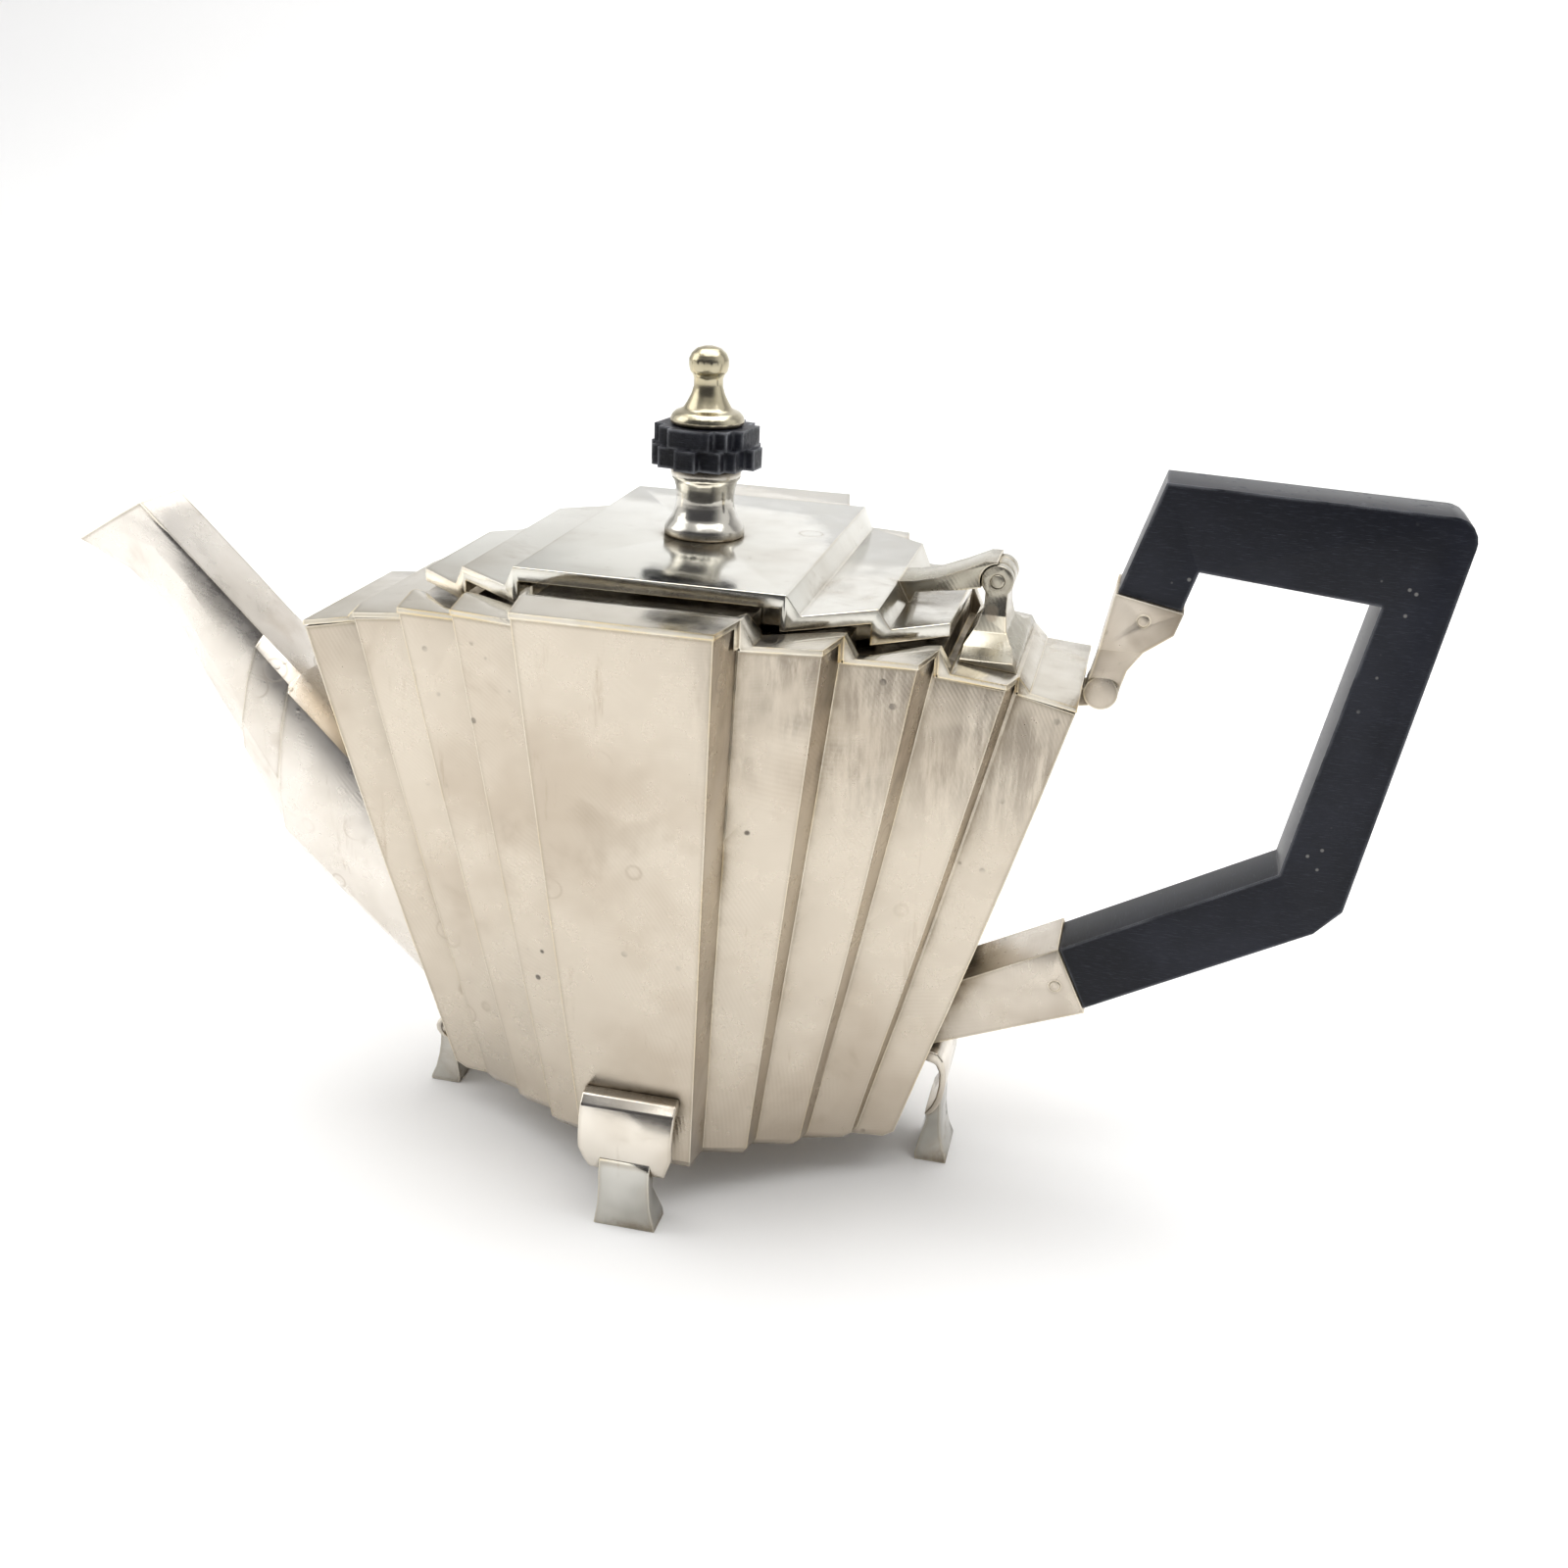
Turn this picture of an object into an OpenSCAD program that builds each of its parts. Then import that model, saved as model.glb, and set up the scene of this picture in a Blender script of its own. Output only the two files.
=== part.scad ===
// Teapot with a ribbed, flaring body, a stepped hinged lid, a beak spout,
// an angular loop handle in two metal sockets and four splayed feet.
// Units are millimetres, +Z is up, the table is z = 0 and the finial stands on x = y = 0.
// The spout points to -X and the handle to +X.

/* [Part to draw] */
// One node by name, or all of them

/* [Body] */
// Length of the body at its rim
body_length = 151.2; // [110:0.2:190]
// Depth of the body at its rim, across the flat panels
body_depth = 116.2; // [84:0.2:146]
// Height of the body from its bottom to the rim of the flat panels
body_height = 116.8; // [84:0.2:146]
// Clear height of the body's bottom over the table
foot_height = 10.5; // [7:0.1:16]
// Thickness of the pressed sheet of the walls
wall = 1.1; // [0.7:0.1:2]
// Outward swell of the walls between bottom and rim
wall_swell = 3; // [0:0.2:6]
// Height of the bevel round the bottom edge
bottom_bevel = 2; // [1:0.2:4]
// Thickness of the shoulder and bottom plates
plate = 1; // [0.6:0.1:2]

/* [Lid] */
// Thickness of the lid's sheet
lid_sheet = 1; // [0.6:0.1:1.6]
// Height of the rim that hangs round the lid's edge
lid_skirt = 2.6; // [1.5:0.1:5]
// Rise of the lid's flat top over the shoulder's rim
lid_rise = 2.1; // [1.2:0.1:4]
// Depth of the seat below the shoulder's ledges
seat_drop = 1.8; // [1:0.1:3]
// Width of the seat that stays under the lid's edge
seat_width = 4.5; // [3:0.1:8]
// Depth of the inner rim below the lid's top
bezel_depth = 7.2; // [5:0.1:12]
// Gap between the lid's inner rim and the opening
bezel_gap = 0.8; // [0.6:0.05:1.5]
// Length of the slope between two steps of the lid and of the shoulder
slope = 2.2; // [0:0.1:4]

/* [Hinge] */
// Radius of the knuckles
knuckle_r = 3; // [2.2:0.1:4.5]
// Radius of the hinge pin
pin_r = 1.3; // [0.9:0.05:2]
// Gap round the pin in the turning knuckle
pin_gap = 0.06; // [0.02:0.01:0.1]
// Length of the row of knuckles
hinge_width = 10.6; // [8:0.2:16]
// Gap between neighbouring knuckles
knuckle_gap = 0.35; // [0.3:0.05:0.6]

/* [Finial] */
// Radius of the finial's foot
finial_r = 7.8; // [6:0.1:10]
// Height of the finial over the lid
finial_height = 35.9; // [26:0.1:46]
// Half width of the dark block's lower tier
block_half = 10.6; // [8:0.1:13]
// Radius of the stud inside the finial
stud_r = 1.6; // [1.2:0.1:2.2]

/* [Handle] */
// Distance from the finial's axis to the handle's outer corner
handle_reach = 141.4; // [120:0.5:175]
// Half thickness of the grip
grip_half = 6.5; // [5:0.1:9]
// Half thickness of the metal sockets
socket_half = 7.6; // [6:0.1:10]
// Depth of the grip's tenons in the sockets
tenon = 7; // [4:0.5:12]
// Gap round the tenons
tenon_gap = 0.05; // [0.02:0.01:0.1]
// Radius of the pins through the sockets
rivet_r = 1.1; // [0.8:0.1:1.6]

/* [Spout] */
// Half width of the spout's flat top face
spout_half = 7.3; // [5:0.1:10]
// Thickness of the spout's sheet
spout_wall = 1; // [0.7:0.1:1.6]
// Radius of the strainer's holes
hole_r = 1.5; // [1:0.1:2]

/* [Feet] */
// Width of a foot's curved strap
strap_width = 19; // [14:0.5:25]
// Thickness of a foot's strap
strap_sheet = 1.3; // [0.8:0.1:2]
// Width of a foot's shoe at the table
shoe_width = 12.6; // [9:0.2:18]

/* [Hidden] */
silver = [0.80, 0.77, 0.72];
brass = [0.80, 0.70, 0.46];
black = [0.06, 0.06, 0.08];
eps = 0.01;
hl = body_length / 2;
hd = body_depth / 2;
bz = foot_height;
// Outer corner of each rib, from the flat panel to the end, as shares of the half sizes
rib_x = [0.233, 0.442, 0.640, 0.833, 1];
rib_y = [1, 0.787, 0.609, 0.414, 0.346];
// Inner corner after each rib
nook_x = [0.257, 0.464, 0.667, 0.853];
nook_y = [0.828, 0.622, 0.430, 0.310];
// Height of each rib's rim at its inner and outer end, as shares of the body's height
rim_in = [1, 0.9615, 0.928, 0.892, 0.859];
rim_out = [1, 0.9615, 0.928, 0.879, 0.843];
// The same corners at the bottom
base_x = [0.1455, 0.2685, 0.3915, 0.517, 0.6257];
base_y = [0.668, 0.527, 0.422, 0.324, 0.274];
heel_x = [0.158, 0.281, 0.404, 0.526];
heel_y = [0.566, 0.462, 0.370, 0.285];
step_run = 0.3;
seam = 0.03;

function unit(v) = v / norm(v);
function quad(a, b, c, d) = [[a, b, c], [a, c, d]];
function mix(a, b, t) = a + (b - a) * t;
// Right half of the outline as [bottom x, bottom y, rim x, rim y, rim height]
function nook(k, low) = let (
        a = [rib_x[k] * hl, rib_y[k] * hd], b = [nook_x[k] * hl, nook_y[k] * hd],
        c = [base_x[k] * hl, base_y[k] * hd], d = [heel_x[k] * hl, heel_y[k] * hd],
        p = low ? b : b - unit(b - a) * step_run, q = low ? d : d - unit(d - c) * step_run)
    [q[0], q[1], p[0], p[1], (low ? rim_in[k + 1] : rim_out[k]) * body_height];
function rib(k) = [base_x[k] * hl, base_y[k] * hd, rib_x[k] * hl, rib_y[k] * hd,
    rim_out[k] * body_height];
right_half = concat([for (k = [0:3]) each [rib(k), nook(k, false), nook(k, true)]],
    [rib(4), [base_x[4] * hl, 0, hl, 0, rim_out[4] * body_height]]);
last = len(right_half) - 1;
profile = concat([for (i = [last:-1:0]) let (p = right_half[i]) [-p[0], p[1], -p[2], p[3], p[4]]],
    right_half);
// Height share and outline share of each level of the walls
levels = [[0, -0.05], [bottom_bevel / body_height, 0.03], each [for (i = [1:6]) [i / 6,
    i / 6 + wall_swell / 28 * (i / 6) * (1 - i / 6)]]];
function ring(f) = [for (p = profile) [mix(p[0], p[2], f), mix(p[1], p[3], f)]];
// Outline moved inwards by t; its two ends stay on y = 0
function inset(r, t) = let (n = len(r)) [for (i = [0:n - 1])
    let (a = i > 0 ? unit(r[i] - r[i - 1]) : unit(r[1] - r[0]),
         b = i < n - 1 ? unit(r[i + 1] - r[i]) : a,
         m = unit(a + b), q = r[i] + [m[1], -m[0]] * (t / max(0.4, m * a)))
    i == 0 || i == n - 1 ? [q[0], 0] : q];
function mirrored(r) = [for (i = [len(r) - 1:-1:0]) [r[i][0], -r[i][1]]];
function closed(r) = concat(r, [for (q = mirrored(r)) if (abs(q[1]) > eps) q]);
// Plan of the rim, without the doubled corners of the wall's steps
rim = let (r = ring(1), n = last - 1) [for (i = [0:len(r) - 1])
    let (k = i > last ? i - last - 1 : last - i) if (k % 3 != 1 || k == last) r[i]];

// One half of the ribbed wall: a sheet swept from the bottom to the stepped rim
module wall_half() {
    n = len(profile);
    m = len(levels);
    outer = [for (l = levels) let (r = ring(l[1])) [for (i = [0:n - 1])
        [r[i][0], r[i][1], bz + l[0] * (profile[i][4] - plate)]]];
    inner = [for (l = levels) let (r = inset(ring(l[1]), wall)) [for (i = [0:n - 1])
        [r[i][0], r[i][1], bz + l[0] * (profile[i][4] - plate)]]];
    pts = concat([for (r = outer) each r], [for (r = inner) each r]);
    h = n * m;
    polyhedron(pts, concat(
        [for (j = [0:m - 2]) for (i = [0:n - 2]) let (p = j * n + i)
            each quad(p, p + n, p + n + 1, p + 1)],
        [for (j = [0:m - 2]) for (i = [0:n - 2]) let (p = h + j * n + i)
            each quad(p, p + 1, p + n + 1, p + n)],
        [for (i = [0:n - 2]) each quad(i, i + 1, h + i + 1, h + i)],
        [for (i = [0:n - 2]) let (p = (m - 1) * n + i) each quad(p, h + p, h + p + 1, p + 1)],
        [for (j = [0:m - 2]) let (p = j * n) each quad(p, h + p, h + p + n, p + n)],
        [for (j = [0:m - 2]) let (p = j * n + n - 1) each quad(p, p + n, h + p + n, h + p)]));
}
// Strainer: rows of round holes where the spout leaves the wall
module strainer() {
    for (i = [0:5]) for (j = [0:1])
        translate([-hl - 5, 3 + 5 * j, bz + body_height * (0.27 + 0.06 * i)]) rotate([0, 90, 0])
            cylinder(r = hole_r, h = hl - 30, $fn = 24);
}
module wall_front() color(silver) mirror([0, 1, 0]) wall_back();
module wall_back() color(silver) difference() {
    wall_half();
    strainer();
}
module bottom_plate() color(silver) translate([0, 0, bz]) linear_extrude(plate)
    polygon(closed(inset(ring(levels[0][1]), wall + 0.02)));

// Stepped lines in the x-z plane, given as [x, z] corners of the right half
function stair(xs, a, b) = [for (k = [0:len(xs) - 1]) each [[k == 0 ? 0 : xs[k - 1], a[k]],
    [xs[k], b[k]]]];
function both(s) = concat([for (i = [len(s) - 1:-1:1]) [-s[i][0], s[i][1]]],
    [for (i = [1:len(s) - 1]) s[i]]);
// The same line lowered by t and drawn in by d at each riser
function under(s, t, d) = [for (i = [0:len(s) - 1]) [i == 0 || i == len(s) - 1 ? s[i][0] :
    s[i][0] - d, s[i][1] - t]];
module stair_band(s, t, d) rotate([90, 0, 0]) linear_extrude(2 * hd + 20, center = true)
    polygon(concat(both(s), [for (i = [0:2 * len(s) - 3]) both(under(s, t, d))[2 * len(s) - 3 - i]]));
module stair_fill(top, low) rotate([90, 0, 0]) linear_extrude(2 * hd + 20, center = true)
    polygon(concat(both(top), [for (i = [0:2 * len(low) - 3]) both(low)[2 * len(low) - 3 - i]]));
module prism(r) translate([0, 0, bz]) linear_extrude(body_height + 30) polygon(r);

step_x = [for (k = [0:3]) nook_x[k] * hl + step_run];
ledge = stair(concat(step_x, hl + 3), [for (v = rim_in) bz + v * body_height],
    [for (v = rim_out) bz + v * body_height]);
lid_x = [0.331 * hl, 0.521 * hl, 0.679 * hl];
lid_y = [0.649 * hd, 0.456 * hd, 0.281 * hd];
lid_z = bz + body_height + lid_rise;
tier = 0.0342 * body_height;
lid_stair = stair(lid_x, [0, -tier, -2 * tier] + [lid_z, lid_z, lid_z],
    [0, -tier, -2 * tier] + [lid_z, lid_z, lid_z]);
lid_edge = [[-lid_x[2], 0], each [for (k = [2:-1:0]) [-lid_x[k], lid_y[k]]],
    each [for (k = [0:2]) [lid_x[k], lid_y[k]]], [lid_x[2], 0]];
// Edge of the sunk seat round the lid
well_edge = let (h = [[0.246, 0.798], [0.275, 0.715], [0.439, 0.595], [0.535, 0.560],
        [0.638, 0.408], [0.699, 0.372]])
    [[-0.697 * hl, 0], each [for (i = [5:-1:0]) [-h[i][0] * hl, h[i][1] * hd]],
     each [for (p = h) [p[0] * hl, p[1] * hd]], [0.697 * hl, 0]];
seat = [for (p = ledge) [p[0], p[1] - seat_drop]];
mouth_edge = inset(lid_edge, seat_width);

module shoulder_plate() color(silver) {
    lip = inset(rim, -0.25);
    under_wall = inset(rim, wall + 0.05);
    difference() {
        union() {
            intersection() {
                union() {
                    treads();
                    slopes(ledge, plate / 2);
                }
                prism(closed(lip));
            }
            intersection() {
                stair_band(ledge, plate, plate);
                prism(closed(under_wall));
            }
        }
        prism(closed(well_edge));
    }
    difference() {
        intersection() {
            stair_fill(ledge, under(ledge, seat_drop + plate / 2, plate / 2));
            prism(closed(inset(well_edge, -plate / 2)));
        }
        prism(closed(well_edge));
    }
    intersection() {
        stair_band(seat, plate, plate);
        difference() {
            prism(closed(inset(well_edge, -plate / 4)));
            prism(closed(mouth_edge));
        }
    }
}
// Solid slopes from each step's edge down to the next step, sunk in it by t
module slopes(s, t) for (m = [0, 1]) mirror([m, 0, 0]) for (k = [1:2:len(s) - 3])
    rotate([90, 0, 0]) linear_extrude(2 * hd + 20, center = true) polygon([s[k] - [t, 0], s[k],
        [s[k][0] + slope, s[k + 1][1] - 0.01], [s[k][0] + slope, s[k + 1][1] - t], s[k + 1] - [t, t]]);
module treads() for (s = [-1, 1]) for (k = [0:4]) {
    x0 = k == 0 ? 0 : step_x[k - 1];
    x1 = k == 4 ? hl + 3 : step_x[k];
    rotate([90, 0, 0]) linear_extrude(2 * hd + 20, center = true)
        polygon([for (p = [[x0, ledge[2 * k][1]], [x1, ledge[2 * k + 1][1]],
            [x1, ledge[2 * k + 1][1] - plate], [x0, ledge[2 * k][1] - plate]]) [s * p[0], p[1]]]);
}

// The lid: stepped sheet with a hanging skirt, and an inner rim that drops in the mouth
module lid_plate() color(silver) difference() {
    union() {
        intersection() {
            union() {
                stair_band(lid_stair, lid_sheet, lid_sheet);
                slopes(lid_stair, lid_sheet / 2);
            }
            prism(closed(lid_edge));
        }
        intersection() {
            stair_band(lid_stair, lid_skirt, lid_sheet);
            difference() {
                prism(closed(lid_edge));
                prism(closed(inset(lid_edge, lid_sheet)));
            }
        }
    }
    translate([0, 0, lid_z - lid_sheet - 1]) cylinder(r = stud_r + stud_gap, h = lid_sheet + 2, $fn = 48);
}
module lid_bezel() color(silver) {
    top = under(lid_stair, lid_sheet, lid_sheet);
    intersection() {
        stair_fill(top, under(top, bezel_depth - lid_sheet, 0));
        difference() {
            prism(closed(inset(mouth_edge, bezel_gap)));
            prism(closed(inset(mouth_edge, bezel_gap + lid_sheet)));
        }
    }
}

// Hinge: a leaf that curls up from the lid's last step, and a flared bracket on the shoulder
pin_x = 0.769 * hl;
pin_z = lid_z - 2.3;
leaf_x = lid_x[1] + 0.02;
leaf_z = lid_z - tier;
turn_w = 0.42 * hinge_width;
module across(w, y = 0) translate([0, y + w / 2, 0]) rotate([90, 0, 0]) linear_extrude(w) children();
module knuckle(w, y) translate([pin_x, y + w / 2, pin_z]) rotate([90, 0, 0])
    cylinder(r = knuckle_r, h = w, $fn = 64);
module pin_hole(r) translate([pin_x, hinge_width, pin_z]) rotate([90, 0, 0])
    cylinder(r = r, h = 2 * hinge_width, $fn = 48);
module hinge_leaf() color(silver) {
    run = pin_x - leaf_x;
    difference() {
        union() {
            difference() {
                across(hinge_width) polygon([[leaf_x + slope + 0.03, leaf_z - tier + 0.02],
                    [leaf_x + slope + 0.6, leaf_z - tier + 0.02], [leaf_x + slope + 1.4, leaf_z - 1.9],
                    [leaf_x + 0.40 * run, leaf_z - 1.2],
                    [leaf_x + 0.65 * run, leaf_z - 0.6], [pin_x - knuckle_r, pin_z - 1.5], [pin_x, pin_z],
                    [pin_x - 0.3, pin_z + knuckle_r + 0.7], [pin_x - 0.13 * run, pin_z + knuckle_r + 0.6],
                    [leaf_x + 0.62 * run, leaf_z + 3.1], [leaf_x + 0.38 * run, leaf_z + 1.3],
                    [leaf_x + 0.17 * run, leaf_z + 0.3], [leaf_x + 0.03, leaf_z + 0.02]]);
                for (s = [-1, 1]) translate([pin_x, s * (turn_w / 2 + 5) + 5, pin_z]) rotate([90, 0, 0])
                    cylinder(r = knuckle_r + knuckle_gap, h = 10, $fn = 64);
            }
            knuckle(turn_w, 0);
        }
        pin_hole(pin_r + pin_gap);
    }
}
module hinge_bracket() color(silver) {
    side = (hinge_width - turn_w) / 2 - knuckle_gap;
    foot_a = well_edge[12][0] + 0.6;
    foot_b = step_x[3] - 0.6;
    za = mix(ledge[6][1], ledge[7][1], (foot_a - ledge[6][0]) / (ledge[7][0] - ledge[6][0])) + 0.02;
    zb = mix(ledge[6][1], ledge[7][1], (foot_b - ledge[6][0]) / (ledge[7][0] - ledge[6][0])) + 0.02;
    low = pin_z - za;
    difference() {
        union() {
            for (s = [-1, 1]) knuckle(side, s * (hinge_width - side) / 2);
            intersection() {
                across(4 * hinge_width) polygon([[foot_a, za], [foot_b, zb], [foot_b - 0.4, zb + 0.09 * low],
                    [pin_x + 0.9 * knuckle_r, za + 0.30 * low], [pin_x + 0.7 * knuckle_r, za + 0.60 * low],
                    [pin_x + 0.72 * knuckle_r, pin_z], [pin_x - 0.72 * knuckle_r, pin_z],
                    [pin_x - 0.7 * knuckle_r, za + 0.62 * low], [pin_x - 1.0 * knuckle_r, za + 0.36 * low],
                    [pin_x - 1.6 * knuckle_r, za + 0.14 * low], [foot_a, za + 0.06 * low]]);
                translate([pin_x - 20, 0, 0]) rotate([90, 0, 90]) linear_extrude(40)
                    polygon([for (s = [-1, 1]) for (p = s < 0 ? flare : [for (i = [6:-1:0]) flare[i]])
                        [s * p[0] * hinge_width, za - 3 + p[1] * (low + 3)]]);
            }
        }
        translate([pin_x, turn_w / 2 + knuckle_gap, pin_z]) rotate([90, 0, 0])
            cylinder(r = knuckle_r + knuckle_gap, h = turn_w + 2 * knuckle_gap, $fn = 64);
        pin_hole(pin_r);
    }
}
// Half width and height of the bracket's flare, as shares
flare = [[1.6, 0], [1.6, 0.23], [1.1, 0.29], [0.75, 0.42], [0.56, 0.60], [0.5, 0.8], [0.5, 1]];
module hinge_pin() color(silver) translate([pin_x, hinge_width / 2 + 0.3, pin_z]) rotate([90, 0, 0])
    cylinder(r = pin_r, h = hinge_width + 0.6, $fn = 48);

// Finial: turned foot, two-tier block of cubes, turned top, stud and nut
stud_gap = 0.04;
fz = lid_z + 0.01;
u = finial_height / 35.9;
w = finial_r / 7.8;
block_low = fz + 13.8 * u;
block_mid = fz + 17.7 * u;
block_top = fz + 21.3 * u;
module turned(p, z0) translate([0, 0, z0]) difference() {
    rotate_extrude($fn = 96) polygon(p);
    translate([0, 0, -1]) cylinder(r = stud_r + stud_gap, h = stud_top - z0 + 1.02, $fn = 48);
}
stud_top = block_top + 7 * u;
module finial_foot() color(silver) turned([[0, 0], [7.6 * w, 0], [7.8 * w, 0.6 * u], [7.7 * w, 1.8 * u],
    [7.1 * w, 2.7 * u], [6.3 * w, 3.7 * u], [5.7 * w, 5.4 * u], [5.5 * w, 7.2 * u], [5.7 * w, 9.2 * u],
    [6.1 * w, 10.6 * u], [6.7 * w, 11.4 * u], [6.8 * w, 12.4 * u], [6.6 * w, 13.2 * u], [6 * w, 13.78 * u],
    [0, 13.78 * u]], fz);
module tier_of(cells, z0, z1) translate([0, 0, z0]) linear_extrude(z1 - z0) rotate(-8) union()
    for (c = cells) square([2 * c[0] * block_half, 2 * c[1] * block_half], center = true);
module finial_block() color(black) difference() {
    union() {
        tier_of([[0.2, 1], [0.6, 0.81], [0.81, 0.6], [1, 0.2]], block_low, block_mid);
        tier_of([[0.4, 0.86], [0.66, 0.66], [0.86, 0.4]], block_mid - 0.01, block_top);
    }
    translate([0, 0, block_low - 1]) cylinder(r = stud_r + stud_gap, h = 12 * u, $fn = 48);
}
module finial_top() color(brass) turned([[0, 0], [6.5 * w, 0], [7 * w, 0.4 * u], [7.1 * w, 1 * u],
    [6.8 * w, 1.8 * u], [6.1 * w, 2.5 * u], [5 * w, 2.9 * u], [4.6 * w, 3.2 * u], [3.9 * w, 4.4 * u],
    [3.2 * w, 5.8 * u], [2.8 * w, 7.2 * u], [2.8 * w, 8.6 * u], [3.1 * w, 9.4 * u], [3.6 * w, 10 * u],
    [3.8 * w, 11 * u], [3.8 * w, 12.2 * u], [3.3 * w, 13.3 * u], [2.3 * w, 14.2 * u], [1.1 * w, 14.6 * u],
    [0, 14.6 * u]], block_top + 0.01);
module finial_stud() color(silver) translate([0, 0, lid_z - lid_sheet - 4.4])
    cylinder(r = stud_r, h = stud_top - 0.02 - (lid_z - lid_sheet - 4.4), $fn = 48);
module finial_nut() color(brass) translate([0, 0, lid_z - lid_sheet - 3.02]) difference() {
    cylinder(r = 2.4 * stud_r, h = 3, $fn = 6);
    translate([0, 0, -1]) cylinder(r = stud_r + stud_gap, h = 5, $fn = 48);
}

// Half length and half depth of the walls' outside at height z over the bottom
function end_x(z) = lookup(z, [for (l = levels) [l[0] * (rim_out[4] * body_height - plate),
    mix(base_x[4] * hl, hl, l[1])]]);
function panel_y(z) = lookup(z, [for (l = levels) [l[0] * (body_height - plate),
    mix(base_y[0] * hd, hd, l[1])]]);

// Spout: top point, keel point and half widths of each station, from the mouth to the root
spout_line = [[[1.561, 0.991], [1.816, 0.898]], [[1.481, 0.941], [1.660, 0.853]],
    [[1.389, 0.883], [1.528, 0.779]], [[1.303, 0.828], [1.435, 0.659]], [[1.224, 0.777], [1.310, 0.531]],
    [[1.124, 0.715], [1.194, 0.385]], [[0.892, 0.570], [0.664, 0.080]]];
spout_at = [0, 1, 2, 3, 4, 4.06, 5, 5.05, 6];
spout_w = [[1, 0.95, 0.78, 0.50, 0.24, 0.10], [1, 1.02, 1.0, 0.78, 0.45, 0.18],
    [1, 1.04, 1.12, 0.98, 0.62, 0.26], [1, 1.06, 1.2, 1.12, 0.78, 0.34], [1, 1.08, 1.28, 1.24, 0.9, 0.42],
    [1, 1.4, 1.62, 1.6, 1.2, 0.6], [1, 1.42, 1.68, 1.68, 1.28, 0.66], [1, 1.75, 2.02, 2.02, 1.58, 0.85],
    [1, 1.85, 2.15, 2.15, 1.75, 1]];
spout_s = [0, 0.06, 0.3, 0.6, 0.85, 1];
function spout_point(j, e) = let (a = spout_at[j], i = min(5, floor(a)))
    mix(spout_line[i][e], spout_line[i + 1][e], a - i);
function spout_ring(j, t) = let (a = spout_point(j, 0), b = spout_point(j, 1),
        p = [-a[0] * hl, a[1] * body_height], q = [-b[0] * hl, b[1] * body_height], d = unit(q - p) * t,
        row = spout_w[t > 0 && j > 4 ? j - 1 : j],
        side = [for (k = [0:5]) let (c = mix(p + d, q - 1.8 * d, spout_s[k]))
            [j == 8 ? -end_x(c[1]) - 0.03 : c[0], max(0.3, row[k] * spout_half - t), bz + c[1]]])
    concat(side, [for (k = [5:-1:0]) [side[k][0], -side[k][1], side[k][2]]]);
module spout_shell() color(silver) {
    rings = 9;
    n = 12;
    h = rings * n;
    polyhedron(concat([for (j = [0:rings - 1]) each spout_ring(j, 0)],
        [for (j = [0:rings - 1]) each spout_ring(j, spout_wall)]), concat(
        [for (j = [0:rings - 2]) for (i = [0:n - 1]) let (a = j * n + i, b = j * n + (i + 1) % n)
            each quad(a, a + n, b + n, b)],
        [for (j = [0:rings - 2]) for (i = [0:n - 1]) let (a = h + j * n + i, b = h + j * n + (i + 1) % n)
            each quad(a, b, b + n, a + n)],
        [for (i = [0:n - 1]) let (b = (i + 1) % n) each quad(i, b, h + b, h + i)],
        [for (i = [0:n - 1]) let (a = (rings - 1) * n + i, b = (rings - 1) * n + (i + 1) % n)
            each quad(a, h + a, h + b, b)]));
}

// Handle: corner points as shares of its reach beyond the rim and of the body's height
reach = handle_reach - hl;
function hp(p) = [hl + p[0] * reach, bz + p[1] * body_height];
function bend(a, p, b, r) = let (u1 = unit(a - p), u2 = unit(b - p), c = p + unit(u1 + u2) *
        r / sin(acos(u1 * u2) / 2), s = p + u1 * r / tan(acos(u1 * u2) / 2) - c,
        e = p + u2 * r / tan(acos(u1 * u2) / 2) - c)
    [for (i = [0:6]) c + unit(mix(s, e, i / 6)) * r];
leg_a = hp([0.072, 1.003]);
leg_b = hp([0.25, 0.983]);
arm_a = hp([0.024, 0.373]);
arm_b = hp([0.117, 0.268]);
function tongue(a, b, edge, out) = let (d = unit(b - a), n = [d[1], -d[0]])
    [a + d * edge - n, a + d * edge + n * out, b - d * edge + n * out, b - d * edge - n];
module handle_grip() color(black) difference() {
    union() {
        across(2 * grip_half) polygon(concat([leg_a, hp([0.167, 1.181])],
            bend(hp([0.167, 1.181]), hp([0.995, 1.166]), hp([0.812, 0.510]), 4.5),
            [hp([0.812, 0.510]), hp([0.742, 0.465]), arm_b, arm_a, hp([0.620, 0.561]),
            hp([0.771, 1.021]), hp([0.283, 1.047]), leg_b]));
        across(1.3 * grip_half) polygon(tongue(leg_a, leg_b, 2, tenon));
        across(1.3 * grip_half) polygon(tongue(arm_a, arm_b, 2, tenon));
    }
    rivet_hole(ferrule_rivet);
    rivet_hole(socket_rivet);
}
function outward(a, b) = let (d = unit(b - a)) [d[1], -d[0]];
// A socket's corner: beyond the end a-b of the grip by side, and a seam away from its face
function past(a, b, side) = (side < 0 ? a : b) + unit(b - a) * side + outward(a, b) * seam;
ferrule_rivet = (leg_a + leg_b) / 2 + outward(leg_a, leg_b) * tenon / 2;
socket_rivet = (arm_a + arm_b) / 2 + outward(arm_a, arm_b) * tenon / 2;
module rivet_hole(p) translate([p[0], 20, p[1]]) rotate([90, 0, 0]) cylinder(r = rivet_r, h = 40, $fn = 40);

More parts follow.
